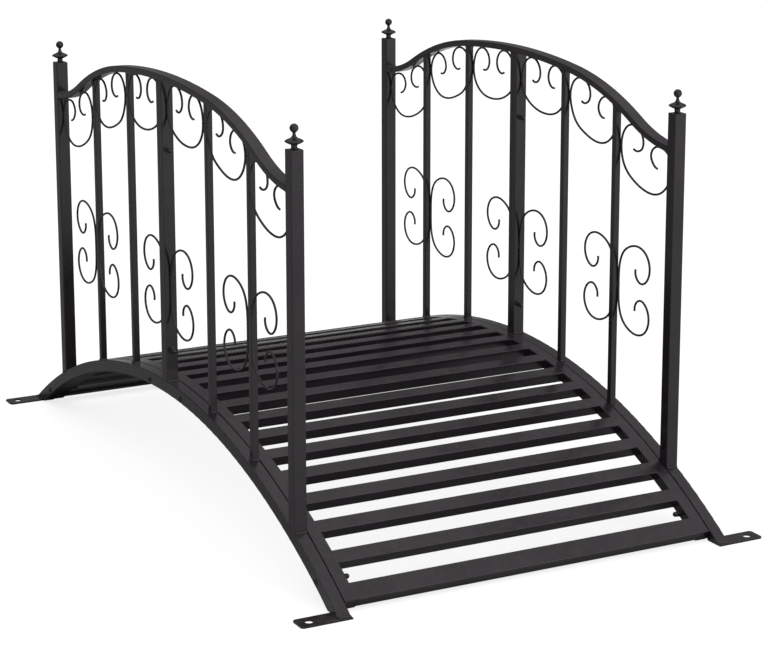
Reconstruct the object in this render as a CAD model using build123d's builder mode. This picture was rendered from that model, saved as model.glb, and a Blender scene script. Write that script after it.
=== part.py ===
# Arched metal garden bridge. Two railings stand on the outer edges of an arched,
# slatted deck. Each railing is two welded halves that bolt together at the middle
# post, and the deck is two welded halves as well, so one far right quarter of a
# railing and one far half of the deck are drawn and the rest are mirrored.
# X runs across the walkway, Y along it, Z up. The origin is on the ground, midway.
import os
from math import asin, cos, radians, sin

from build123d import *

os.makedirs("parts", exist_ok=True)

# The arch: one circle carries the tops of the bottom rails, stringers and slats.
arch_radius = 1375.0
crown_height = 233.0
arch_centre_z = crown_height - arch_radius
arch_axis = Axis((0, 0, arch_centre_z), (-1, 0, 0))

# The railings.
railing_x = 394.5
post_width = 25.0
post_wall = 1.0
post_corner = 2.0
post_y = 576.0
post_face_y = post_y - post_width / 2
post_top = 785.0
rail_reach = 36.0
baluster_width = 13.0
baluster_wall = 1.0
baluster_corner = 1.5
inner_baluster_y = 194.0
outer_baluster_y = 382.0
baluster_x = railing_x - (post_width - baluster_width) / 2

# The top rail: a long crown arc, a tighter shoulder and a reverse bend at the post.
top_rail_crown = 840.5
top_rail_depth = 13.0
top_rail_wall = 1.0
crown_arc = 1817.0
shoulder_arc = 693.0
reverse_arc = 324.0
shoulder_start = radians(6.7)
shoulder_end = radians(26.8)
reverse_end = radians(2.0)

# The turned knob on each end post.
knob_cap = 2.0
knob_ball_z = 824.0
knob_ball_radius = 7.9

# Scrolls bent from round wire.
wire = 4.4
wire_gap = 0.15
scroll_z = 419.6

# Foot plates that the bridge is pegged or bolted down through.
plate_thickness = 3.0
plate_inner_x = railing_x - post_width / 2
plate_outer_x = 480.0
plate_y = 748.0
plate_width = 40.0
plate_corner = 7.0
foot_hole_x = 457.0
foot_hole_diameter = 16.0

# The deck.
stringer_outer_x = 381.5
stringer_width = 25.0
stringer_depth = 22.0
stringer_reach = 32.3
slat_length = 2 * (stringer_outer_x - stringer_width)
slat_width = 30.0
slat_depth = 20.0
slat_wall = 1.0
slat_corner = 1.5
slats_per_half = 10
first_slat_y = 32.0
slat_pitch = 68.5
end_slat_width = 38.0


def on_arc(centre, radius, angle):
    """A point in the railing's side view, at an angle from straight up."""
    return (centre[0] + radius * sin(angle), centre[1] + radius * cos(angle))


def top_rail_line(depth):
    """Draws the top rail's three arcs at a depth below its upper surface, and returns their end."""
    first = (0, top_rail_crown - crown_arc)
    second = on_arc(first, crown_arc - shoulder_arc, shoulder_start)
    third = on_arc(second, shoulder_arc + reverse_arc, shoulder_end)
    stretches = (
        (first, crown_arc - depth, 0, shoulder_start),
        (second, shoulder_arc - depth, shoulder_start, shoulder_end),
        (third, -reverse_arc - depth, shoulder_end, reverse_end),
    )
    for centre, radius, start, end in stretches:
        ThreePointArc(
            on_arc(centre, radius, start),
            on_arc(centre, radius, (start + end) / 2),
            on_arc(centre, radius, end),
        )
    return on_arc(centre, radius, end)


def tube_section(width, depth, wall, corner):
    """A rounded rectangular tube's section."""
    RectangleRounded(width, depth, corner)
    RectangleRounded(width - 2 * wall, depth - 2 * wall, corner - wall, mode=Mode.SUBTRACT)


def bend_wire(points):
    """Round wire bent along a curve in the railing's plane."""
    with BuildLine(Plane.YZ.offset(railing_x)) as bend:
        Spline(*points)
    with BuildSketch(Plane(origin=bend.line @ 0, z_dir=bend.line % 0)) as rod:
        Circle(wire / 2)
    sweep(sections=rod.sketch, path=bend.line)


# The space inside the railing, from the bottom rail up to the underside of the top
# rail. It trims the balusters and the middle post.
with BuildPart() as railing_space:
    with BuildSketch(Plane.YZ.offset(railing_x - post_width / 2)):
        with BuildLine():
            top_rail_end = top_rail_line(top_rail_depth)
            arch_end = on_arc((0, arch_centre_z), arch_radius, asin(post_y / arch_radius))
            crown = (0, crown_height)
            Line((0, top_rail_crown - top_rail_depth), crown)
            RadiusArc(crown, arch_end, arch_radius)
            Line(arch_end, top_rail_end)
        make_face()
    extrude(amount=post_width)


# Right far quarter of the railings, each piece by itself.
with BuildPart() as bottom_rail:
    with BuildSketch(Plane.XZ):
        with Locations((railing_x, crown_height - post_width / 2)):
            tube_section(post_width, post_width, post_wall, post_corner)
    revolve(axis=arch_axis, revolution_arc=rail_reach)
    with Locations((railing_x, 700, plate_thickness)):
        Box(60, 400, 200, align=(Align.CENTER, Align.CENTER, Align.MAX), mode=Mode.SUBTRACT)

with BuildPart() as top_rail:
    with BuildLine(Plane.YZ.offset(railing_x)) as rail_path:
        top_rail_line(top_rail_depth / 2)
    with BuildSketch(Plane(rail_path.line @ 0, x_dir=(1, 0, 0), z_dir=(0, 1, 0))):
        tube_section(post_width, top_rail_depth, top_rail_wall, post_corner)
    sweep(path=rail_path.line)
    with Locations((railing_x, post_face_y, top_rail_crown)):
        Box(60, 60, 300, align=(Align.CENTER, Align.MIN, Align.CENTER), mode=Mode.SUBTRACT)

with BuildPart() as end_post:
    with BuildSketch():
        with Locations((railing_x, post_y)):
            tube_section(post_width, post_width, post_wall, post_corner)
    extrude(amount=post_top)
    with BuildSketch(Plane.YZ.offset(railing_x)):
        with Locations((0, arch_centre_z)):
            Circle(arch_radius)
    extrude(amount=post_width, both=True, mode=Mode.SUBTRACT)

with BuildPart() as middle_post:
    with BuildSketch():
        with Locations((railing_x, post_width / 4)):
            tube_section(post_width, post_width / 2, post_wall, baluster_corner)
    extrude(amount=top_rail_crown)
    add(railing_space.part, mode=Mode.INTERSECT)

with BuildPart() as inner_baluster:
    with BuildSketch():
        with Locations((baluster_x, inner_baluster_y)):
            tube_section(baluster_width, baluster_width, baluster_wall, baluster_corner)
    extrude(amount=top_rail_crown)
    add(railing_space.part, mode=Mode.INTERSECT)

with BuildPart() as outer_baluster:
    with BuildSketch():
        with Locations((baluster_x, outer_baluster_y)):
            tube_section(baluster_width, baluster_width, baluster_wall, baluster_corner)
    extrude(amount=top_rail_crown)
    add(railing_space.part, mode=Mode.INTERSECT)

# A cap plate with the turned knob on it: a dished collar, a waist and a small ball.
knob_base = (railing_x, post_y, post_top + knob_cap)
with BuildPart() as post_knob:
    with BuildSketch(Plane.XY.offset(post_top)):
        with Locations((railing_x, post_y)):
            RectangleRounded(post_width, post_width, post_corner)
    extrude(amount=knob_cap)
    with BuildSketch(Plane(knob_base, x_dir=(1, 0, 0), z_dir=(0, -1, 0))):
        with BuildLine():
            Polyline((0, 30.5), (0, 0), (7.5, 0), (5.6, 2.5), (5.6, 8))
            Spline((5.6, 8), (11.5, 10.5), (16.2, 13.2))
            ThreePointArc((16.2, 13.2), (16.7, 14.2), (16.2, 15.2))
            Spline((16.2, 15.2), (11.5, 18), (5, 21.5), (3.1, 25.5), (3.1, 30.5))
            Line((3.1, 30.5), (0, 30.5))
        make_face()
    revolve(axis=Axis(knob_base, (0, 0, 1)))
    with Locations((railing_x, post_y, knob_ball_z)):
        Sphere(knob_ball_radius)

# One scroll hangs in each bay under the top rail, its two ends curled inwards.
inner_bay_scroll = (
    (58.5, 777.5), (74, 776), (86, 788), (84, 808), (62, 823.5), (32, 815), (17, 785),
    (18, 757), (42, 733), (71, 721), (115, 716), (154, 725), (179, 748), (184.6, 778),
    (170, 809), (146, 819), (125, 809), (119, 791), (126, 777.5), (142.5, 773),
)
middle_bay_scroll = (
    (246, 761.5), (262, 760), (275, 771), (273, 792), (250, 807), (220, 801),
    (204, 775), (209, 743), (227, 717), (258, 700), (300, 689), (336, 693), (363, 714),
    (372.9, 742), (362, 770), (338, 783), (315, 775), (307, 756), (314, 744), (328, 740),
)
outer_bay_scroll = (
    (434, 695.5), (450, 694), (464, 703), (464, 723), (446, 738.5), (420, 741),
    (397, 722), (391.3, 690), (402, 660), (437, 634), (480, 620.5), (518, 622), (549, 643),
    (560.8, 676), (552, 702), (527, 713), (503, 709), (493, 694), (499, 680), (515, 671),
)
with BuildPart() as bay_scrolls:
    for bay_scroll in (inner_bay_scroll, middle_bay_scroll, outer_bay_scroll):
        bend_wire(bay_scroll)

# C scrolls stand back to back on the outer baluster, and one on the middle post.
scroll_curl = (
    (0, 0), (0.5, 26), (4, 47), (15, 68), (38, 83), (69, 87.5), (95, 76), (106.5, 50),
    (95, 24), (76, 17), (62, 25), (58, 41.5),
)
with BuildPart() as post_scrolls:
    for scroll_y, back, way in (
        (0, post_width / 2, 1),
        (outer_baluster_y, baluster_width / 2, 1),
        (outer_baluster_y, baluster_width / 2, -1),
    ):
        back_y = scroll_y + way * (back + wire / 2 + wire_gap)
        upper = [(back_y + way * out, scroll_z + up) for out, up in scroll_curl]
        lower = [(back_y + way * out, scroll_z - up) for out, up in scroll_curl[:0:-1]]
        bend_wire(lower + upper)

with BuildPart() as foot_plate:
    with BuildSketch():
        with Locations(((plate_inner_x + plate_outer_x) / 2, plate_y)):
            outline = Rectangle(plate_outer_x - plate_inner_x, plate_width)
        fillet(outline.vertices().group_by(Axis.X)[-1], plate_corner)
        with Locations((foot_hole_x, plate_y)):
            Circle(foot_hole_diameter / 2, mode=Mode.SUBTRACT)
    extrude(amount=plate_thickness)

# Far half of the deck.
with BuildPart() as stringer:
    with BuildSketch(Plane.XZ):
        with Locations((stringer_outer_x - stringer_width / 2, crown_height - stringer_depth / 2)):
            tube_section(stringer_width, stringer_depth, post_wall, post_corner)
    revolve(axis=arch_axis, revolution_arc=stringer_reach)

with BuildPart() as slats:
    slat_arc = arch_radius - slat_depth / 2
    places = []
    for k in range(slats_per_half):
        slat_y = first_slat_y + slat_pitch * k
        places.append((asin(slat_y / arch_radius), slat_width))
    end_half_angle = end_slat_width / 2 / arch_radius
    places.append((radians(stringer_reach) - end_half_angle, end_slat_width))
    for angle, width in places:
        across, up = on_arc((0, arch_centre_z), slat_arc, angle)
        slope = (0, cos(angle), -sin(angle))
        with BuildSketch(Plane((-slat_length / 2, across, up), x_dir=slope, z_dir=(1, 0, 0))):
            tube_section(width, slat_depth, slat_wall, slat_corner)
    extrude(amount=slat_length)


def save(piece, name):
    """Name a piece and write its file."""
    piece.part.label = name
    export_step(piece.part, f"parts/{name}.step")


# The other quarters are mirror images of the right far one.
quarter = {
    "bottom_rail": bottom_rail,
    "top_rail": top_rail,
    "end_post": end_post,
    "middle_post": middle_post,
    "inner_baluster": inner_baluster,
    "outer_baluster": outer_baluster,
    "post_knob": post_knob,
    "bay_scrolls": bay_scrolls,
    "post_scrolls": post_scrolls,
    "foot_plate": foot_plate,
    "stringer": stringer,
}
for name, piece in quarter.items():
    with BuildPart() as left_far:
        mirror(piece.part, about=Plane.YZ)
    with BuildPart() as right_near:
        mirror(piece.part, about=Plane.XZ)
    with BuildPart() as left_near:
        mirror(left_far.part, about=Plane.XZ)
    save(piece, f"right_far_{name}")
    save(left_far, f"left_far_{name}")
    save(right_near, f"right_near_{name}")
    save(left_near, f"left_near_{name}")

with BuildPart() as near_slats:
    mirror(slats.part, about=Plane.XZ)
save(slats, "far_slats")
save(near_slats, "near_slats")
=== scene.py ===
import math

import bpy
from mathutils import Matrix, Vector


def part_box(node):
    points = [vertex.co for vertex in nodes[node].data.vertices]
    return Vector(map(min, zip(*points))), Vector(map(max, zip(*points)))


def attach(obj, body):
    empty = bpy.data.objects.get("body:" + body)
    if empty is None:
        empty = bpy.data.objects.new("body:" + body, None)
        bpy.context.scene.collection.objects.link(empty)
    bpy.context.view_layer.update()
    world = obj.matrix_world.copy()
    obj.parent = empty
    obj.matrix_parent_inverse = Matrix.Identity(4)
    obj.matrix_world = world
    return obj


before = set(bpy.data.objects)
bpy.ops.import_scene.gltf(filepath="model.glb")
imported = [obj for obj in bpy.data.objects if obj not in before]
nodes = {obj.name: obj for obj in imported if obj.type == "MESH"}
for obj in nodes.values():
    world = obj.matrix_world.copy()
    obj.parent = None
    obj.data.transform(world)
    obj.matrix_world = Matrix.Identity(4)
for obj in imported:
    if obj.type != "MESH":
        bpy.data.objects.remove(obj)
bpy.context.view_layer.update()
QUARTERS = ("right_far", "left_far", "right_near", "left_near")


# The coat. Every piece of the bridge but its bolts is steel or cast iron under one
# stoved powder coat, near black and satin. These node groups hold what its finishes
# share: the tone, the skin's fine ripple, rubbed edges, dust that settles, and scuffs.
COAT_BLACK = (0.0085, 0.0055, 0.0083, 1)
COAT_CHARCOAL = (0.0125, 0.009, 0.0123, 1)
DUST_GREY = (0.16, 0.152, 0.14, 1)
RUBBED_GREY = (0.055, 0.054, 0.056, 1)
RUBBED_REACH = 0.0015
NOISE_SPAN = (0.3, 0.7)
PATCH_GLOSS = 0.03
PATCH_DULLNESS = 0.05
DUST_DULLNESS = 0.5
SCUFF_DULLNESS = 0.35
VECTOR = "NodeSocketVector"
COLOUR = "NodeSocketColor"
NUMBER = "NodeSocketFloat"


def new_group(name, takes, gives):
    """A shader node group, with the sockets inside it for what it takes and gives."""
    group = bpy.data.node_groups.new(name, "ShaderNodeTree")
    for label, kind in takes.items():
        group.interface.new_socket(name=label, in_out="INPUT", socket_type=kind)
    for label, kind in gives.items():
        group.interface.new_socket(name=label, in_out="OUTPUT", socket_type=kind)
    taken = group.nodes.new("NodeGroupInput").outputs
    given = group.nodes.new("NodeGroupOutput").inputs
    return group, taken, given


def feed(tree, value, socket):
    """Gives a socket a fixed number or colour, or links another socket to it."""
    if isinstance(value, (float, tuple)):
        socket.default_value = value
    else:
        tree.links.new(value, socket)


def noise(tree, place, scale, detail, roughness=0.5):
    """A noise pattern over a place, with its scale in features to the metre."""
    node = tree.nodes.new("ShaderNodeTexNoise")
    feed(tree, place, node.inputs["Vector"])
    feed(tree, scale, node.inputs["Scale"])
    feed(tree, detail, node.inputs["Detail"])
    feed(tree, roughness, node.inputs["Roughness"])
    return node.outputs["Fac"]


def stretched(tree, value, low, high, to_low=0.0, to_high=1.0):
    """A value eased from one range into another."""
    node = tree.nodes.new("ShaderNodeMapRange")
    node.interpolation_type = "SMOOTHSTEP"
    node.inputs["From Min"].default_value = low
    node.inputs["From Max"].default_value = high
    node.inputs["To Min"].default_value = to_low
    node.inputs["To Max"].default_value = to_high
    feed(tree, value, node.inputs["Value"])
    return node.outputs["Result"]


def combined(tree, operation, *values):
    """Values added up or multiplied together, each a socket or a fixed number."""
    total = values[0]
    for value in values[1:]:
        node = tree.nodes.new("ShaderNodeMath")
        node.operation = operation
        feed(tree, total, node.inputs[0])
        feed(tree, value, node.inputs[1])
        total = node.outputs["Value"]
    return total


def mixed(tree, under, top, mask):
    """A colour with another one laid over it by a mask."""
    mix = tree.nodes.new("ShaderNodeMix")
    mix.data_type = "RGBA"
    feed(tree, under, mix.inputs["A"])
    feed(tree, top, mix.inputs["B"])
    feed(tree, mask, mix.inputs["Factor"])
    return mix.outputs["Result"]


tone, taken, given = new_group(
    "coat_tone", {"Place": VECTOR, "Dark": COLOUR, "Light": COLOUR}, {"Colour": COLOUR}
)
cloud = stretched(tone, noise(tone, taken["Place"], scale=9.0, detail=3.0), *NOISE_SPAN)
tone.links.new(mixed(tone, taken["Dark"], taken["Light"], cloud), given["Colour"])

skin, taken, given = new_group(
    "powder_skin",
    {"Place": VECTOR, "Ripple": NUMBER, "Grit": NUMBER},
    {"Height": NUMBER, "Patch": NUMBER},
)
ripples = noise(skin, taken["Place"], scale=taken["Ripple"], detail=1.0)
grit = noise(skin, taken["Place"], scale=2600.0, detail=2.0)
grit_share = combined(skin, "MULTIPLY", grit, taken["Grit"])
patch = noise(skin, taken["Place"], scale=38.0, detail=4.0, roughness=0.6)
skin.links.new(combined(skin, "ADD", ripples, grit_share), given["Height"])
skin.links.new(patch, given["Patch"])

rubbed, taken, given = new_group(
    "rubbed_edges", {"Place": VECTOR, "Reach": NUMBER, "Amount": NUMBER}, {"Mask": NUMBER}
)
edge_round = rubbed.nodes.new("ShaderNodeBevel")
edge_round.samples = 4
surface = rubbed.nodes.new("ShaderNodeNewGeometry")
edge_turn = rubbed.nodes.new("ShaderNodeVectorMath")
edge_turn.operation = "DOT_PRODUCT"
rubbed.links.new(taken["Reach"], edge_round.inputs["Radius"])
rubbed.links.new(edge_round.outputs["Normal"], edge_turn.inputs[0])
rubbed.links.new(surface.outputs["Normal"], edge_turn.inputs[1])
at_edge = stretched(rubbed, edge_turn.outputs["Value"], low=0.995, high=0.93)
edge_break = noise(rubbed, taken["Place"], scale=130.0, detail=4.0, roughness=0.65)
edge_break = stretched(rubbed, edge_break, low=0.42, high=0.62)
rubbed.links.new(combined(rubbed, "MULTIPLY", at_edge, edge_break, taken["Amount"]), given["Mask"])

dust, taken, given = new_group(
    "settled_dust", {"Place": VECTOR, "Amount": NUMBER}, {"Mask": NUMBER}
)
facing = dust.nodes.new("ShaderNodeNewGeometry")
facing_parts = dust.nodes.new("ShaderNodeSeparateXYZ")
dust.links.new(facing.outputs["Normal"], facing_parts.inputs["Vector"])
facing_up = stretched(dust, facing_parts.outputs["Z"], low=0.55, high=0.98)
specks = noise(dust, taken["Place"], scale=60.0, detail=6.0, roughness=0.7)
specks = stretched(dust, specks, low=0.4, high=0.75)
dust.links.new(combined(dust, "MULTIPLY", facing_up, specks, taken["Amount"]), given["Mask"])

scuffs, taken, given = new_group(
    "scuffs", {"Place": VECTOR, "Amount": NUMBER}, {"Mask": NUMBER}
)
drawn_out = scuffs.nodes.new("ShaderNodeMapping")
drawn_out.inputs["Scale"].default_value = (1.0, 0.12, 1.0)
drawn_out.inputs["Rotation"].default_value = (0.0, 0.0, 0.35)
scuffs.links.new(taken["Place"], drawn_out.inputs["Vector"])
scratches = noise(scuffs, drawn_out.outputs["Vector"], scale=240.0, detail=5.0, roughness=0.7)
scratches = stretched(scuffs, scratches, low=0.56, high=0.72)
traffic = noise(scuffs, taken["Place"], scale=7.0, detail=2.0)
traffic = stretched(scuffs, traffic, low=0.42, high=0.62)
scuffs.links.new(combined(scuffs, "MULTIPLY", scratches, traffic, taken["Amount"]), given["Mask"])


def coat(name, roughness, ripple, ripple_depth, grit, edge, dusty, scuffed):
    """The finish of one kind of piece. Ripples are to the metre, and their depth in metres."""
    material = bpy.data.materials.new(name)
    material.use_nodes = True
    tree = material.node_tree
    shader = tree.nodes["Principled BSDF"]
    place = tree.nodes.new("ShaderNodeTexCoord").outputs["Object"]

    def use(group, **values):
        node = tree.nodes.new("ShaderNodeGroup")
        node.node_tree = group
        tree.links.new(place, node.inputs["Place"])
        for label, value in values.items():
            node.inputs[label].default_value = value
        return node.outputs

    ground = use(tone, Dark=COAT_BLACK, Light=COAT_CHARCOAL)["Colour"]
    surface_skin = use(skin, Ripple=ripple, Grit=grit)
    edges = use(rubbed, Reach=RUBBED_REACH, Amount=edge)["Mask"]
    settled = use(dust, Amount=dusty)["Mask"]
    marks = use(scuffs, Amount=scuffed)["Mask"]
    worn = mixed(tree, ground, RUBBED_GREY, edges)
    marked = mixed(tree, worn, RUBBED_GREY, marks)
    tree.links.new(mixed(tree, marked, DUST_GREY, settled), shader.inputs["Base Color"])

    gloss_range = (roughness - PATCH_GLOSS, roughness + PATCH_DULLNESS)
    gloss = stretched(tree, surface_skin["Patch"], *NOISE_SPAN, *gloss_range)
    dusted = combined(tree, "MULTIPLY", settled, DUST_DULLNESS)
    scuffed_up = combined(tree, "MULTIPLY", marks, SCUFF_DULLNESS)
    tree.links.new(combined(tree, "ADD", gloss, dusted, scuffed_up), shader.inputs["Roughness"])

    bump = tree.nodes.new("ShaderNodeBump")
    bump.inputs["Strength"].default_value = 0.6
    bump.inputs["Distance"].default_value = ripple_depth
    tree.links.new(surface_skin["Height"], bump.inputs["Height"])
    tree.links.new(bump.outputs["Normal"], shader.inputs["Normal"])
    shader.inputs["IOR"].default_value = 1.5
    return material


def wear(names, material):
    """Gives CAD nodes their finish. Their meshes stay as they are."""
    for name in names:
        nodes[name].data.materials.clear()
        nodes[name].data.materials.append(material)


# The railings' square tube, straight or rolled to the arch: cold formed and seam
# welded, so its faces are flat and smooth and the coat lies on it with a faint ripple.
tube_coat = coat(
    "coat_on_tube", roughness=0.2, ripple=330.0, ripple_depth=0.00003,
    grit=0.12, edge=0.2, dusty=0.03, scuffed=0.04,
)
TUBES = ("bottom_rail", "top_rail", "end_post", "middle_post", "inner_baluster", "outer_baluster")
wear([f"{quarter}_{tube}" for quarter in QUARTERS for tube in TUBES], tube_coat)


# The scrolls: round wire bent cold round a former. The coat draws thin over wire, so
# its ripple is finer and shallower than on the tube, and no edge is there to be rubbed.
wire_coat = coat(
    "coat_on_wire", roughness=0.22, ripple=500.0, ripple_depth=0.00002,
    grit=0.08, edge=0.0, dusty=0.03, scuffed=0.0,
)
SCROLLS = ("bay_scrolls", "post_scrolls")
wear([f"{quarter}_{scroll}" for quarter in QUARTERS for scroll in SCROLLS], wire_coat)


# The knobs: cast iron, turned on the outside and set on a cap plate on each end post.
# The casting leaves a grainier skin under the coat.
knob_coat = coat(
    "coat_on_casting", roughness=0.28, ripple=620.0, ripple_depth=0.0001,
    grit=0.5, edge=0.15, dusty=0.06, scuffed=0.0,
)
wear([f"{quarter}_post_knob" for quarter in QUARTERS], knob_coat)


# The deck: stringers rolled to the arch and slats let in between them, all tube. It
# is walked on, so it carries fine scuffs along the walkway and some dust.
deck_coat = coat(
    "coat_on_deck", roughness=0.22, ripple=300.0, ripple_depth=0.00004,
    grit=0.15, edge=0.25, dusty=0.05, scuffed=0.12,
)
DECK = [f"{quarter}_stringer" for quarter in QUARTERS] + ["far_slats", "near_slats"]
wear(DECK, deck_coat)


# The foot plates: 3 mm sheet, punched for a peg and welded under the bottom rails'
# ends. They lie on the ground, so they are dustier and more scuffed than the rest.
plate_coat = coat(
    "coat_on_plate", roughness=0.3, ripple=380.0, ripple_depth=0.00006,
    grit=0.3, edge=0.4, dusty=0.12, scuffed=0.25,
)
wear([f"{quarter}_foot_plate" for quarter in QUARTERS], plate_coat)


# The bolts. M6 bolts hold the railings to the deck, two to a quarter, with a low round
# head outside the bottom rail, and a nut and a capped thread inside the stringer. Two
# more join the halves of each middle post. All are blacked steel.
bolt_coat = coat(
    "blacked_steel", roughness=0.25, ripple=700.0, ripple_depth=0.00003,
    grit=0.2, edge=0.5, dusty=0.04, scuffed=0.0,
)
TUBE_HALF = 0.0125
RAIL_X = 0.3945
RAIL_OUTER_X = RAIL_X + TUBE_HALF
STRINGER_X = 0.369
STRINGER_INNER_X = STRINGER_X - TUBE_HALF
ARCH_CENTRE_Z = -1.142
BOLT_LINE_RADIUS = 1.3595
BOLT_YS = (0.078, 0.672)
POST_BOLT_ZS = (0.295, 0.694)
ROUND_SIDES = 32
STEEL_CREASE = 35
EDGE_ROUND = 0.0003
HEAD_RADIUS = 0.0055
HEAD_RIM = 0.0006
HEAD_DOME = 0.0022
HEAD_SWEEP = math.radians(70)
HEAD_STEPS = 5
SOCKET_RADIUS = 0.0023
SOCKET_DEPTH = 0.0016
WASHER_RADIUS = 0.0064
WASHER_THICKNESS = 0.0013
NUT_RADIUS = 0.00577
NUT_HEIGHT = 0.005
NUT_EDGE = 0.00022
NUT_CHAMFER = (0.0009, 0.0004)
NUT_LAND = (0.0006, 0.0)
NUT_DISH = (0.0003, -0.0002)
THREAD_LENGTH = 0.0105
THREAD_RADIUS = 0.003
THREAD_PITCH = 0.001
THREAD_ROOT = 0.84
THREAD_TIP = 0.7
THREAD_SIDES = 20
CAP_RADIUS = 0.005
CAP_SKIRT = 0.0015
CAP_CUT = 0.001


def signs(quarter):
    """The side of the walkway that a quarter is on, and its way along it, as 1 or -1."""
    return 1 if quarter.startswith("right") else -1, 1 if quarter.endswith("far") else -1


def take(piece):
    """Selects one piece alone."""
    bpy.ops.object.select_all(action="DESELECT")
    piece.select_set(True)
    bpy.context.view_layer.objects.active = piece


def settle(piece):
    """Puts a piece's place, turn and scale into its mesh."""
    take(piece)
    bpy.ops.object.transform_apply(location=True, rotation=True, scale=True)


def bevel_edges(piece, width, segments=2):
    """Rounds a piece's sharp edges and applies the change."""
    take(piece)
    bevel = piece.modifiers.new("edges", "BEVEL")
    bevel.width = width
    bevel.segments = segments
    bevel.limit_method = "ANGLE"
    bpy.ops.object.modifier_apply(modifier=bevel.name)


def smooth(piece, degrees):
    """Shades a piece smooth, but for edges sharper than an angle."""
    take(piece)
    bpy.ops.object.shade_smooth_by_angle(angle=math.radians(degrees))


def face_outwards():
    """Turns the faces of the piece in edit mode outwards, and leaves edit mode."""
    bpy.ops.mesh.select_all(action="SELECT")
    bpy.ops.mesh.normals_make_consistent(inside=False)
    bpy.ops.object.mode_set(mode="OBJECT")


def join(pieces, name):
    """Joins pieces into one and names it."""
    bpy.ops.object.select_all(action="DESELECT")
    for piece in pieces:
        piece.select_set(True)
    bpy.context.view_layer.objects.active = pieces[0]
    if len(pieces) > 1:
        bpy.ops.object.join()
    joined = bpy.context.object
    joined.name = name
    joined.data.name = name
    return joined


def copy_to(pattern, matrix):
    """A copy of a piece with its own mesh, placed by a matrix."""
    twin = pattern.copy()
    twin.data = pattern.data.copy()
    twin.matrix_world = matrix
    bpy.context.collection.objects.link(twin)
    return twin


def fix_to_bridge(piece, material):
    """Settles a finished piece, gives it its finish and fastens it to the bridge."""
    settle(piece)
    piece.data.materials.clear()
    piece.data.materials.append(material)
    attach(piece, "root")


def aim(place, direction):
    """The matrix that stands a piece at a place with its own Z along a direction."""
    turn = Vector(direction).to_track_quat("Z", "Y").to_matrix().to_4x4()
    return Matrix.Translation(Vector(place)) @ turn


def washer():
    """A stamped washer, lying on the origin."""
    bpy.ops.object.select_all(action="DESELECT")
    bpy.ops.mesh.primitive_cylinder_add(
        vertices=ROUND_SIDES, radius=WASHER_RADIUS, depth=WASHER_THICKNESS,
        location=(0, 0, WASHER_THICKNESS / 2),
    )
    piece = bpy.context.object
    bevel_edges(piece, EDGE_ROUND)
    return piece


def hexagon_nut():
    """A nut on the washer, its corners turned down at the top and its face dished."""
    bpy.ops.object.select_all(action="DESELECT")
    bpy.ops.mesh.primitive_cylinder_add(
        vertices=6, radius=NUT_RADIUS, depth=NUT_HEIGHT,
        location=(0, 0, WASHER_THICKNESS + NUT_HEIGHT / 2),
    )
    piece = bpy.context.object
    bpy.ops.object.mode_set(mode="EDIT")
    bpy.ops.mesh.select_mode(type="FACE")
    bpy.ops.mesh.select_all(action="DESELECT")
    bpy.ops.object.mode_set(mode="OBJECT")
    for face in piece.data.polygons:
        face.select = face.normal.z > 0.9
    bpy.ops.object.mode_set(mode="EDIT")
    for inwards, upwards in (NUT_CHAMFER, NUT_LAND, NUT_DISH):
        bpy.ops.mesh.inset(thickness=inwards, depth=upwards)
    bpy.ops.object.mode_set(mode="OBJECT")
    bevel_edges(piece, NUT_EDGE)
    return piece


def button_head():
    """A low domed head with a hexagon socket in it."""
    bpy.ops.object.select_all(action="DESELECT")
    bpy.ops.mesh.primitive_circle_add(vertices=ROUND_SIDES, radius=HEAD_RADIUS, fill_type="NGON")
    head = bpy.context.object
    bpy.ops.object.mode_set(mode="EDIT")
    bpy.ops.mesh.select_all(action="SELECT")
    size = 1.0
    height = 0.0
    for step in range(HEAD_STEPS + 1):
        turn = HEAD_SWEEP * step / HEAD_STEPS
        rise = HEAD_RIM + HEAD_DOME * math.sin(turn) - height
        bpy.ops.mesh.extrude_region_move(TRANSFORM_OT_translate={"value": (0, 0, rise)})
        height += rise
        factor = math.cos(turn) / size
        bpy.ops.transform.resize(value=(factor, factor, 1), center_override=(0, 0, height))
        size *= factor
    face_outwards()
    bpy.ops.object.select_all(action="DESELECT")
    bpy.ops.mesh.primitive_cylinder_add(
        vertices=6, radius=SOCKET_RADIUS, depth=2 * SOCKET_DEPTH, location=(0, 0, height)
    )
    key = bpy.context.object
    take(head)
    socket = head.modifiers.new("socket", "BOOLEAN")
    socket.operation = "DIFFERENCE"
    socket.object = key
    bpy.ops.object.modifier_apply(modifier=socket.name)
    bpy.data.objects.remove(key)
    smooth(head, STEEL_CREASE)
    return head


def ribbed_rod(length, radius, ripple, valley, tip, sides):
    """A closed rod up from the origin, ribbed at every ripple: a bolt's thread, or a weld.

    The valleys between its ribs, and its two tips, are shares of the radius.
    """
    bpy.ops.object.select_all(action="DESELECT")
    bpy.ops.mesh.primitive_circle_add(vertices=sides, radius=radius * tip, fill_type="NGON")
    rod = bpy.context.object
    bpy.ops.object.mode_set(mode="EDIT")
    bpy.ops.mesh.select_all(action="SELECT")
    steps = 2 * max(3, round(length / ripple))
    size = tip
    for step in range(1, steps + 1):
        wanted = tip if step == steps else (1.0 if step % 2 else valley)
        factor = wanted / size
        bpy.ops.mesh.extrude_region_move(TRANSFORM_OT_translate={"value": (0, 0, length / steps)})
        bpy.ops.transform.resize(
            value=(factor, factor, 1), center_override=(0, 0, length * step / steps)
        )
        size = wanted
    face_outwards()
    return rod


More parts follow.
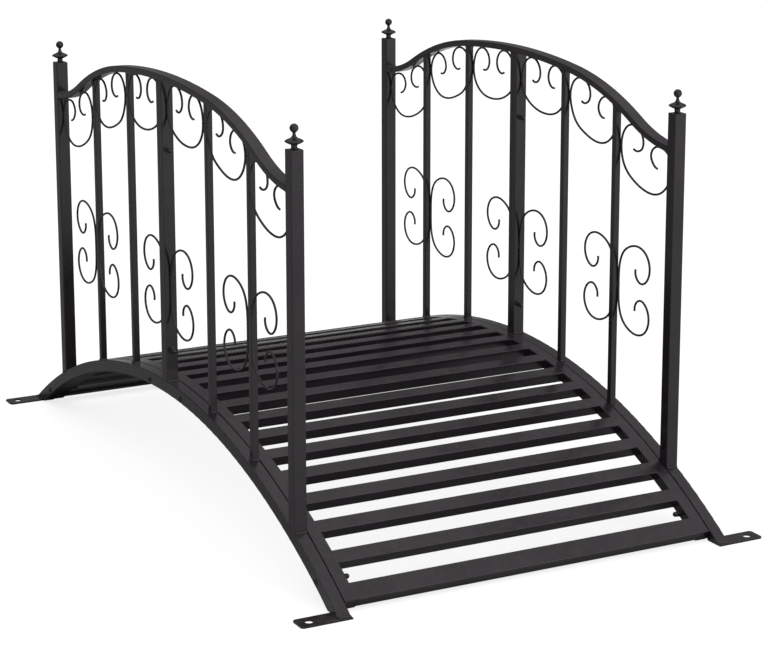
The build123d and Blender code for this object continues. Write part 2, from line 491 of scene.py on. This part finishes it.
def nut_end():
    """A washer, a hexagon nut and the bolt's threaded end, with a domed cap on it."""
    nut = hexagon_nut()
    thread = ribbed_rod(
        THREAD_LENGTH, THREAD_RADIUS, THREAD_PITCH, THREAD_ROOT, THREAD_TIP, THREAD_SIDES
    )
    bpy.ops.object.select_all(action="DESELECT")
    bpy.ops.mesh.primitive_uv_sphere_add(
        segments=24, ring_count=16, radius=CAP_RADIUS, location=(0, 0, THREAD_LENGTH)
    )
    dome = bpy.context.object
    bpy.ops.object.mode_set(mode="EDIT")
    bpy.ops.mesh.bisect(
        plane_co=(0, 0, THREAD_LENGTH - CAP_CUT), plane_no=(0, 0, 1), use_fill=True, clear_inner=True
    )
    bpy.ops.mesh.extrude_region_move(TRANSFORM_OT_translate={"value": (0, 0, -CAP_SKIRT)})
    bpy.ops.object.mode_set(mode="OBJECT")
    bevel_edges(dome, EDGE_ROUND)
    end = join([washer(), nut, thread, dome], "nut_end_pattern")
    smooth(end, STEEL_CREASE)
    return end


bolt_head = button_head()
bolt_end = nut_end()

for quarter in QUARTERS:
    side, way = signs(quarter)
    for spot, bolt_y in zip(("crown", "foot"), BOLT_YS):
        bolt_z = ARCH_CENTRE_Z + math.sqrt(BOLT_LINE_RADIUS ** 2 - bolt_y ** 2)
        outer = aim((side * RAIL_OUTER_X, way * bolt_y, bolt_z), (side, 0, 0))
        inner = aim((side * STRINGER_INNER_X, way * bolt_y, bolt_z), (-side, 0, 0))
        bolt = join([copy_to(bolt_head, outer), copy_to(bolt_end, inner)], f"{quarter}_{spot}_bolt")
        fix_to_bridge(bolt, bolt_coat)

for side, railing in ((1, "right"), (-1, "left")):
    for spot, bolt_z in zip(("lower", "upper"), POST_BOLT_ZS):
        near = aim((side * RAIL_X, -TUBE_HALF, bolt_z), (0, -1, 0))
        far = aim((side * RAIL_X, TUBE_HALF, bolt_z), (0, 1, 0))
        bolt = join([copy_to(bolt_end, near), copy_to(bolt_head, far)], f"{railing}_post_{spot}_bolt")
        fix_to_bridge(bolt, bolt_coat)

for pattern in (bolt_head, bolt_end):
    bpy.data.objects.remove(pattern)


# The railings' welds: short hand-run beads, rippled by the pool as it cooled, and
# coated with the rest. They run round the feet and heads of the posts and balusters,
# where the scrolls touch, and round the bottom rails' ends on the foot plates.
weld_coat = coat(
    "coat_on_weld", roughness=0.27, ripple=520.0, ripple_depth=0.00006,
    grit=0.3, edge=0.0, dusty=0.04, scuffed=0.0,
)
BEAD_RIPPLE = 0.0014
BEAD_VALLEY = 0.88
BEAD_TIP = 0.5
BEAD_SIDES = 10
BEAD_CREASE = 70
BEAD_SIZES = {
    "tack": (0.0065, 0.0014),
    "baluster": (0.013, 0.0019),
    "slat": (0.016, 0.0017),
    "post": (0.024, 0.0021),
    "plate": (0.032, 0.0021),
}
BALUSTER_HALF = 0.0065
BALUSTER_OUTER_X = 0.395
MIDDLE_POST_FACE = TUBE_HALF
INNER_BALUSTER_Y = 0.194
OUTER_BALUSTER_Y = 0.382
END_POST_Y = 0.576
END_POST_FACE = END_POST_Y - TUBE_HALF
TOP_RAIL_DEPTH = 0.013
SCROLL_Z = 0.4196
SCROLL_BEAD_X = RAIL_X - BEAD_SIZES["baluster"][1]
FOOT_BEAD_Z = 0.0034
FOOT_SIDE_BEAD_Y = 0.745
FOOT_END_BEAD_Y = 0.7612

# The deck's arch, and the underside of the top rail at its crown and at its shoulder,
# are arcs seen from the side: the centre's y and z, and the radius.
ARCH_RADIUS = 1.375
ARCH = ((0.0, ARCH_CENTRE_Z), ARCH_RADIUS)
CROWN = ((0.0, -0.9765), 1.804)
SHOULDER = ((0.1311, 0.1398), 0.680)

beads = {}
for kind, (bead_length, bead_radius) in BEAD_SIZES.items():
    beads[kind] = ribbed_rod(
        bead_length, bead_radius, BEAD_RIPPLE, BEAD_VALLEY, BEAD_TIP, BEAD_SIDES
    )
    smooth(beads[kind], BEAD_CREASE)


def bead(kind, middle, direction):
    """A bead of one kind, laid with its middle at a place and along a direction."""
    along = Vector(direction).normalized()
    return copy_to(beads[kind], aim(Vector(middle) - along * BEAD_SIZES[kind][0] / 2, along))


def on_circle(centre, radius, y):
    """The height of an arc's surface at a place along the bridge, and its slope there."""
    rise = math.sqrt(radius ** 2 - (y - centre[0]) ** 2)
    return centre[1] + rise, Vector((0, rise, centre[0] - y)).normalized()


def furthest(points, start_y, end_y, reach):
    """The point of a scroll, on a stretch of the railing, that reaches furthest one way."""
    return max((point for point in points if start_y < point.y < end_y), key=reach)


# A scroll is tacked where it touches: to the uprights at its two sides, and to the top
# rail at the top of each curl.
scroll_points = [vertex.co.copy() for vertex in nodes["right_far_bay_scrolls"].data.vertices]
bay_tacks = []
for start_y, end_y, (centre, _) in (
    (MIDDLE_POST_FACE, INNER_BALUSTER_Y, CROWN),
    (INNER_BALUSTER_Y, OUTER_BALUSTER_Y, CROWN),
    (OUTER_BALUSTER_Y, END_POST_Y, SHOULDER),
):
    bay_middle = (start_y + end_y) / 2
    rail_centre = Vector((0, *centre))
    bay_tacks.append(furthest(scroll_points, start_y, end_y, lambda point: -point.y))
    bay_tacks.append(furthest(scroll_points, start_y, end_y, lambda point: point.y))
    for curl_start, curl_end in ((start_y, bay_middle), (bay_middle, end_y)):
        bay_tacks.append(furthest(
            scroll_points, curl_start, curl_end,
            lambda point: (Vector((0, point.y, point.z)) - rail_centre).length,
        ))

for quarter in QUARTERS:
    side, way = signs(quarter)
    laid = []
    for stand_y, top in ((INNER_BALUSTER_Y, CROWN), (OUTER_BALUSTER_Y, SHOULDER)):
        for surface_arc in (ARCH, top):
            middle_z, slope = on_circle(*surface_arc, stand_y)
            laid.append(bead("baluster", (BALUSTER_OUTER_X, stand_y, middle_z), slope))
            for edge_y in (stand_y - BALUSTER_HALF, stand_y + BALUSTER_HALF):
                edge_z, _ = on_circle(*surface_arc, edge_y)
                place = (BALUSTER_OUTER_X - BALUSTER_HALF, edge_y, edge_z)
                laid.append(bead("baluster", place, (1, 0, 0)))
    for surface_arc, edge_y in (
        (ARCH, END_POST_FACE), (ARCH, END_POST_Y + TUBE_HALF),
        (ARCH, MIDDLE_POST_FACE), (CROWN, MIDDLE_POST_FACE),
    ):
        edge_z, _ = on_circle(*surface_arc, edge_y)
        laid.append(bead("post", (RAIL_X, edge_y, edge_z), (1, 0, 0)))
    rail_low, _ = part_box(f"{quarter}_top_rail")
    for edge_z in (rail_low.z, rail_low.z + TOP_RAIL_DEPTH):
        laid.append(bead("post", (RAIL_X, END_POST_FACE, edge_z), (1, 0, 0)))
    for tack in bay_tacks:
        laid.append(bead("tack", (RAIL_X, tack.y, tack.z), (1, 0, 0)))
    for back_y in (MIDDLE_POST_FACE, OUTER_BALUSTER_Y - BALUSTER_HALF, OUTER_BALUSTER_Y + BALUSTER_HALF):
        laid.append(bead("baluster", (SCROLL_BEAD_X, back_y, SCROLL_Z), (0, 0, 1)))
    laid.append(bead("plate", (RAIL_OUTER_X, FOOT_SIDE_BEAD_Y, FOOT_BEAD_Z), (0, 1, 0)))
    laid.append(bead("post", (RAIL_X, FOOT_END_BEAD_Y, FOOT_BEAD_Z), (1, 0, 0)))
    welds = join(laid, f"{quarter}_railing_welds")
    settle(welds)
    welds.matrix_world = Matrix.Diagonal((side, way, 1, 1))
    fix_to_bridge(welds, weld_coat)
    # Mirroring one way only can turn the beads inside out.
    if side * way < 0:
        bpy.ops.object.mode_set(mode="EDIT")
        face_outwards()


# The deck's welds: each end of a slat has a bead up both its sides, in the corner with
# the stringer, and the weld across its top is ground flush and coated with the deck.
SLATS_PER_HALF = 10
FIRST_SLAT_Y = 0.032
SLAT_PITCH = 0.0685
SLAT_HALF = 0.015
SLAT_DEPTH = 0.020
SLAT_CORNER = 0.0015
END_ANGLE = math.radians(32.3)
END_MEMBER_WIDTH = 0.038
GROUND_X = 0.3575
GROUND_WIDTH = 0.0025
GROUND_DEPTH = 0.002
GROUND_PROUD = 0.00003
GROUND_EDGE = 0.0002


def in_deck(angle, way, depth):
    """A place under the deck's top, at an angle round its arch, and the way out there."""
    outwards = Vector((0, way * math.sin(angle), math.cos(angle)))
    return Vector((0, 0, ARCH_CENTRE_Z)) + outwards * (ARCH_RADIUS - depth), outwards


def bar(middle, size, lean, edge, segments=2):
    """A flat bar, leaning as the arch does where it lies, with its edges rounded."""
    bpy.ops.object.select_all(action="DESELECT")
    bpy.ops.mesh.primitive_cube_add(size=1, location=middle)
    piece = bpy.context.object
    piece.scale = size
    piece.rotation_euler = (-lean, 0, 0)
    settle(piece)
    bevel_edges(piece, edge, segments)
    return piece


slat_angles = [
    math.asin((FIRST_SLAT_Y + SLAT_PITCH * slat) / ARCH_RADIUS) for slat in range(SLATS_PER_HALF)
]
slat_faces = [angle + face * SLAT_HALF / ARCH_RADIUS for angle in slat_angles for face in (-1, 1)]
slat_faces.append(END_ANGLE - END_MEMBER_WIDTH / ARCH_RADIUS)
slat_tops = [(angle, 2 * SLAT_HALF) for angle in slat_angles]
slat_tops.append((END_ANGLE - END_MEMBER_WIDTH / 2 / ARCH_RADIUS, END_MEMBER_WIDTH))

for half_name, way in (("far", 1), ("near", -1)):
    laid = []
    for angle in slat_faces:
        middle, outwards = in_deck(angle, way, SLAT_DEPTH / 2)
        for side in (1, -1):
            laid.append(bead("slat", middle + Vector((side * STRINGER_INNER_X, 0, 0)), outwards))
    fix_to_bridge(join(laid, f"{half_name}_slat_welds"), weld_coat)

    ground = []
    for angle, width in slat_tops:
        middle, _ = in_deck(angle, way, GROUND_DEPTH / 2 - GROUND_PROUD)
        size = (GROUND_WIDTH, width - 2 * SLAT_CORNER, GROUND_DEPTH)
        for side in (1, -1):
            place = middle + Vector((side * GROUND_X, 0, 0))
            ground.append(bar(place, size, way * angle, GROUND_EDGE, segments=1))
    fix_to_bridge(join(ground, f"{half_name}_ground_welds"), deck_coat)

for pattern in beads.values():
    bpy.data.objects.remove(pattern)


# The stringers' ends are closed by thin steel plates, set in a little from the tube's
# edge, welded round, ground off and coated with the deck.
STRINGER_DEPTH = 0.022
PLATE_SIZE = (0.0228, 0.0016, 0.0198)
PLATE_SET_IN = 0.0003
PLATE_EDGE = 0.0004
for quarter in QUARTERS:
    side, way = signs(quarter)
    middle, _ = in_deck(END_ANGLE, way, STRINGER_DEPTH / 2)
    along = Vector((0, way * math.cos(END_ANGLE), -math.sin(END_ANGLE)))
    middle += Vector((side * STRINGER_X, 0, 0)) - along * (PLATE_SIZE[1] / 2 + PLATE_SET_IN)
    closer = bar(middle, PLATE_SIZE, way * END_ANGLE, PLATE_EDGE)
    closer.name = f"{quarter}_stringer_end"
    fix_to_bridge(closer, deck_coat)


# The stage: a plain pale floor, one wide soft light overhead, and a room brighter in
# front and above than behind. The camera sees the floor near white, partly by the floor's
# own glow, which lifts the shadow on it. The dark coat sees it greyer, and darkest to the
# back left: painted shade on the floor, seen only in reflections, in place of a dark card.
FLOOR_SIZE = 60
FLOOR_SEEN = (0.2, 0.2, 0.2, 1)
FLOOR_GLOW = 0.8
FLOOR_REFLECTED = 0.46
FLOOR_BACK_LEFT = 0.17
FADE_TO_BACK = (-1.2, -0.1)
FADE_TO_LEFT = (1.2, 0.2)
ABOVE_HEIGHTS = (0.35, 1.05)
ABOVE_TONES = (0.18, 0.84)
FRONT_DEPTHS = (0.1, -0.9)
FRONT_TONES = (0.0, 0.5)
bpy.ops.object.select_all(action="DESELECT")
bpy.ops.mesh.primitive_plane_add(size=FLOOR_SIZE, location=(0, 0, 0))
floor = bpy.context.object
floor.name = "floor"
floor_paint = bpy.data.materials.new("floor_paint")
floor_paint.use_nodes = True
paint = floor_paint.node_tree
paint.nodes.remove(paint.nodes["Principled BSDF"])
seen = paint.nodes.new("ShaderNodeBsdfDiffuse")
seen.inputs["Color"].default_value = FLOOR_SEEN
# Painted light: the floor glows for the camera, so its shadow shows fainter.
glow = paint.nodes.new("ShaderNodeEmission")
glow.inputs["Strength"].default_value = FLOOR_GLOW
seen_sum = paint.nodes.new("ShaderNodeAddShader")
paint.links.new(seen.outputs["BSDF"], seen_sum.inputs[0])
paint.links.new(glow.outputs["Emission"], seen_sum.inputs[1])
floor_place = paint.nodes.new("ShaderNodeTexCoord")
floor_parts = paint.nodes.new("ShaderNodeSeparateXYZ")
paint.links.new(floor_place.outputs["Object"], floor_parts.inputs["Vector"])
to_back = stretched(paint, floor_parts.outputs["Y"], *FADE_TO_BACK)
to_left = stretched(paint, floor_parts.outputs["X"], *FADE_TO_LEFT)
to_corner = combined(paint, "MULTIPLY", to_back, to_left)
# Painted shade: the floor's tone in reflections is darkened towards the back left.
reflected_floor_shade = stretched(paint, to_corner, 0.0, 1.0, FLOOR_REFLECTED, FLOOR_BACK_LEFT)
reflected = paint.nodes.new("ShaderNodeBsdfDiffuse")
paint.links.new(reflected_floor_shade, reflected.inputs["Color"])
ray = paint.nodes.new("ShaderNodeLightPath")
by_ray = paint.nodes.new("ShaderNodeMixShader")
paint.links.new(ray.outputs["Is Camera Ray"], by_ray.inputs["Fac"])
paint.links.new(reflected.outputs["BSDF"], by_ray.inputs[1])
paint.links.new(seen_sum.outputs["Shader"], by_ray.inputs[2])
paint.links.new(by_ray.outputs["Shader"], paint.nodes["Material Output"].inputs["Surface"])
floor.data.materials.append(floor_paint)

world = bpy.data.worlds.new("soft_room")
bpy.context.scene.world = world
world.use_nodes = True
room = world.node_tree
way_out = room.nodes.new("ShaderNodeTexCoord")
room_parts = room.nodes.new("ShaderNodeSeparateXYZ")
room.links.new(way_out.outputs["Generated"], room_parts.inputs["Vector"])
above = stretched(room, room_parts.outputs["Z"], *ABOVE_HEIGHTS, *ABOVE_TONES)
in_front = stretched(room, room_parts.outputs["Y"], *FRONT_DEPTHS, *FRONT_TONES)
room.links.new(combined(room, "ADD", above, in_front), room.nodes["Background"].inputs["Color"])


def soft_light(name, size, watts):
    """A soft rectangular light, not placed yet."""
    data = bpy.data.lights.new(name, "AREA")
    data.shape = "RECTANGLE"
    data.size, data.size_y = size
    data.energy = watts
    light = bpy.data.objects.new(name, data)
    bpy.context.collection.objects.link(light)
    return light


OVERHEAD_SIZE = (16.0, 16.0)
OVERHEAD_WATTS = 965.0
OVERHEAD_PLACE = (0.0, 2.0, 6.0)
SOFTBOX_SIZE = (4.0, 2.4)
SOFTBOX_WATTS = 50.0
SOFTBOX_PLACE = (2.4, -4.6, 1.4)
SOFTBOX_BACK = (2.4, -4.6, 1.0)
overhead = soft_light("overhead", OVERHEAD_SIZE, OVERHEAD_WATTS)
overhead.location = OVERHEAD_PLACE
overhead.visible_glossy = False
softbox = soft_light("front_softbox", SOFTBOX_SIZE, SOFTBOX_WATTS)
softbox.matrix_world = aim(SOFTBOX_PLACE, SOFTBOX_BACK)
bpy.context.scene.view_settings.view_transform = "Standard"


# The camera stands where the photo was taken from: in front of the bridge and left of
# its walkway, about 1.5 m above the ground, with a long lens.
CAMERA_PLACE = (-2.1114, -4.1818, 1.5268)
CAMERA_DIP = 12.36
CAMERA_TURN = 27.98
CAMERA_LENS = 111.35
CAMERA_SHIFT = (-0.0169, -0.1272)
camera_data = bpy.data.cameras.new("camera")
camera_data.sensor_width = 36.0
camera_data.lens = CAMERA_LENS
camera_data.shift_x, camera_data.shift_y = CAMERA_SHIFT
camera_data.clip_end = 100.0
camera = bpy.data.objects.new("camera", camera_data)
camera.location = CAMERA_PLACE
camera.rotation_euler = (math.radians(90 - CAMERA_DIP), 0, math.radians(-CAMERA_TURN))
bpy.context.collection.objects.link(camera)
bpy.context.scene.camera = camera
